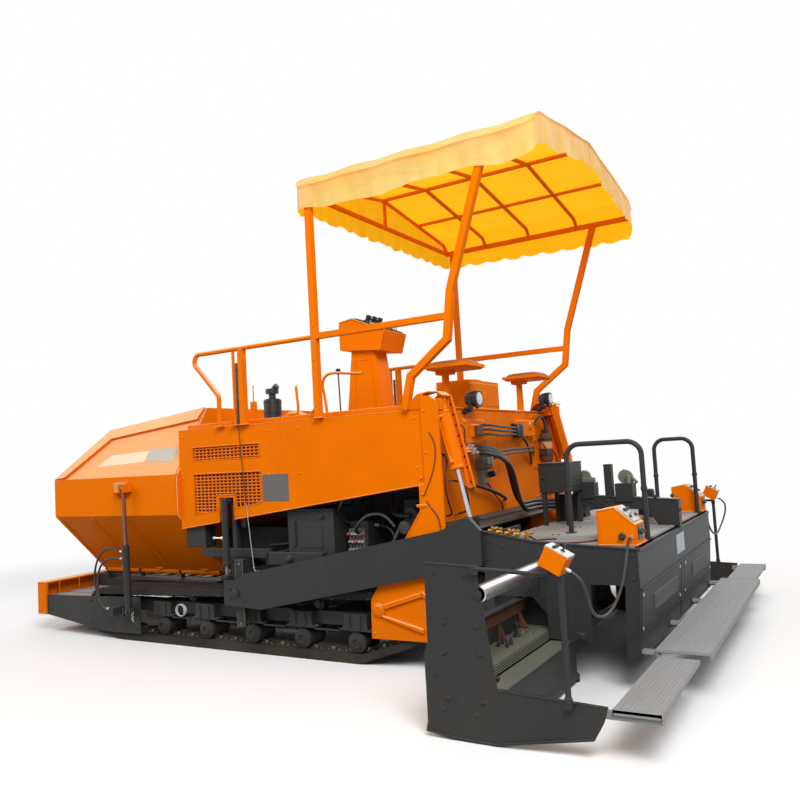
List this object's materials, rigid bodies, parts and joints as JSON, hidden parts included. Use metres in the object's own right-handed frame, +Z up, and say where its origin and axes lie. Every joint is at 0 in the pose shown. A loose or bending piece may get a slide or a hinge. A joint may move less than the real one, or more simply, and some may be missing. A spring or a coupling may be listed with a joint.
{
  "type": "tracked asphalt paver",
  "caption": "Self-propelled asphalt paver on tracks with folding hopper wings, slat conveyor, augers, a lifting screed with sliding extensions, and a canopy.",
  "frame": {"origin": "on the ground under the middle of the machine's length and width", "axes": "+X forward towards the hopper, +Y left, +Z up"},
  "size_m": [6.2719, 4.704, 3.866],
  "materials": {
    "orange_paint": "gloss",
    "dark_paint": "semi gloss",
    "step_grey": "satin",
    "track_rubber": "matte",
    "bare_steel": "worn",
    "hard_chrome": "polished",
    "cast_grey": "cast",
    "black_plastic": "matte",
    "canopy_cloth": "woven",
    "apron_rubber": "matte",
    "hose_rubber": "satin"
  },
  "bodies": {
    "tractor": {"air_cleaner": "black_plastic", "auger_drive": "dark_paint", "canopy_cover": "canopy_cloth", "canopy_frame": "orange_paint", "conveyor": "bare_steel", "engine_block": "cast_grey", "front_bumper": "orange_paint", "front_chassis": "dark_paint", "front_flap": "apron_rubber", "handrails": "orange_paint", "hopper_bulkhead": "orange_paint", "hoses": "hose_rubber", "leveling_rams": "dark_paint", "main_frame": "dark_paint", "operator_station": "orange_paint", "platform": "step_grey", "rear_side_plates": "orange_paint", "rear_wall": "orange_paint", "side_panels": "orange_paint", "tanks": "dark_paint", "track_frames": "dark_paint", "track_left": "track_rubber", "track_right": "track_rubber", "track_wheels": "dark_paint", "vent_screens": "orange_paint", "work_lamps": "black_plastic"},
    "wing_left": {"hopper_wing_left": "orange_paint"},
    "wing_ram_barrel_left": {"wing_barrel_left": "dark_paint", "wing_hoses_left": "hose_rubber"},
    "wing_ram_rod_left": {"wing_rod_left": "hard_chrome"},
    "lift_ram_barrel_left": {"lift_barrel_left": "orange_paint"},
    "lift_ram_rod_left": {"lift_rod_left": "hard_chrome"},
    "push_roller_left": {"push_roller_left": "bare_steel"},
    "auger_left": {"auger_left": "bare_steel"},
    "extension_left": {"end_plate_left": "dark_paint", "extension_mould_left": "dark_paint", "extension_tube_left": "hard_chrome", "extension_step_left": "step_grey", "extension_stand_left": "orange_paint"},
    "wing_right": {"hopper_wing_right": "orange_paint"},
    "wing_ram_barrel_right": {"wing_barrel_right": "dark_paint", "wing_hoses_right": "hose_rubber"},
    "wing_ram_rod_right": {"wing_rod_right": "hard_chrome"},
    "lift_ram_barrel_right": {"lift_barrel_right": "orange_paint"},
    "lift_ram_rod_right": {"lift_rod_right": "hard_chrome"},
    "push_roller_right": {"push_roller_right": "bare_steel"},
    "auger_right": {"auger_right": "bare_steel"},
    "extension_right": {"end_plate_right": "dark_paint", "extension_mould_right": "dark_paint", "extension_tube_right": "hard_chrome", "extension_step_right": "step_grey", "extension_stand_right": "orange_paint"},
    "screed": {"tow_arms": "dark_paint", "screed_frame": "dark_paint", "screed_plates": "bare_steel", "screed_steps": "step_grey", "screed_rails": "dark_paint", "screed_boxes": "orange_paint", "crown_gear": "dark_paint", "screed_cables": "hose_rubber"}
  },
  "joints": [
    {"name": "wing_fold_left", "type": "hinge", "parent": "tractor", "child": "wing_left", "pos_m": [1.856, 0.7, 0.53], "axis": [1, 0, 0], "range_deg": [-40, 0]},
    {"name": "wing_ram_swing_left", "type": "hinge", "parent": "tractor", "child": "wing_ram_barrel_left", "pos_m": [1.621, 1.31, 0.27], "axis": [1, 0, 0], "range_deg": [-38.72, 0]},
    {"name": "wing_ram_slide_left", "type": "slide", "parent": "wing_ram_barrel_left", "child": "wing_ram_rod_left", "axis": [0, 0.0187, 0.9998], "range_m": [-0.454, 0]},
    {"name": "wing_fold_right", "type": "hinge", "parent": "tractor", "child": "wing_right", "pos_m": [1.856, -0.7, 0.53], "axis": [-1, 0, 0], "range_deg": [-40, 0]},
    {"name": "wing_ram_swing_right", "type": "hinge", "parent": "tractor", "child": "wing_ram_barrel_right", "pos_m": [1.621, -1.31, 0.27], "axis": [-1, 0, 0], "range_deg": [-38.72, 0]},
    {"name": "wing_ram_slide_right", "type": "slide", "parent": "wing_ram_barrel_right", "child": "wing_ram_rod_right", "axis": [0, -0.0187, 0.9998], "range_m": [-0.454, 0]},
    {"name": "screed_lift", "type": "hinge", "parent": "tractor", "child": "screed", "pos_m": [0.388, 0, 0.475], "axis": [0, 1, 0], "range_deg": [0, 8.5]},
    {"name": "lift_ram_swing_left", "type": "hinge", "parent": "tractor", "child": "lift_ram_barrel_left", "pos_m": [-1.464, 1.16, 1.85], "axis": [0, 1, 0], "range_deg": [-4.12, 0]},
    {"name": "lift_ram_slide_left", "type": "slide", "parent": "lift_ram_barrel_left", "child": "lift_ram_rod_left", "axis": [-0.2119, 0, -0.9773], "range_m": [-0.309, 0]},
    {"name": "push_roller_spin_left", "type": "hinge", "parent": "tractor", "child": "push_roller_left", "pos_m": [3.056, 0.39, 0.33], "axis": [0, 1, 0], "continuous": true},
    {"name": "auger_spin_left", "type": "hinge", "parent": "tractor", "child": "auger_left", "pos_m": [-1.544, 0.6, 0.33], "axis": [0, 1, 0], "continuous": true},
    {"name": "extension_slide_left", "type": "slide", "parent": "screed", "child": "extension_left", "axis": [0, 1, 0], "range_m": [-1, 0]},
    {"name": "lift_ram_swing_right", "type": "hinge", "parent": "tractor", "child": "lift_ram_barrel_right", "pos_m": [-1.464, -1.16, 1.85], "axis": [0, 1, 0], "range_deg": [-4.12, 0]},
    {"name": "lift_ram_slide_right", "type": "slide", "parent": "lift_ram_barrel_right", "child": "lift_ram_rod_right", "axis": [-0.2119, 0, -0.9773], "range_m": [-0.309, 0]},
    {"name": "push_roller_spin_right", "type": "hinge", "parent": "tractor", "child": "push_roller_right", "pos_m": [3.056, -0.39, 0.33], "axis": [0, 1, 0], "continuous": true},
    {"name": "auger_spin_right", "type": "hinge", "parent": "tractor", "child": "auger_right", "pos_m": [-1.544, -0.6, 0.33], "axis": [0, 1, 0], "continuous": true},
    {"name": "extension_slide_right", "type": "slide", "parent": "screed", "child": "extension_right", "axis": [0, -1, 0], "range_m": [-1, 0]}
  ],
  "couplings": [
    {"joint": "wing_ram_swing_left", "follows": "wing_fold_left", "ratio": 0.963},
    {"joint": "wing_ram_slide_left", "follows": "wing_fold_left", "m_per_rad": 0.649},
    {"joint": "wing_ram_swing_right", "follows": "wing_fold_right", "ratio": 0.963},
    {"joint": "wing_ram_slide_right", "follows": "wing_fold_right", "m_per_rad": 0.649},
    {"joint": "lift_ram_swing_left", "follows": "screed_lift", "ratio": -0.4756},
    {"joint": "lift_ram_slide_left", "follows": "screed_lift", "m_per_rad": -2.077},
    {"joint": "lift_ram_swing_right", "follows": "screed_lift", "ratio": -0.4756},
    {"joint": "lift_ram_slide_right", "follows": "screed_lift", "m_per_rad": -2.077}
  ]
}
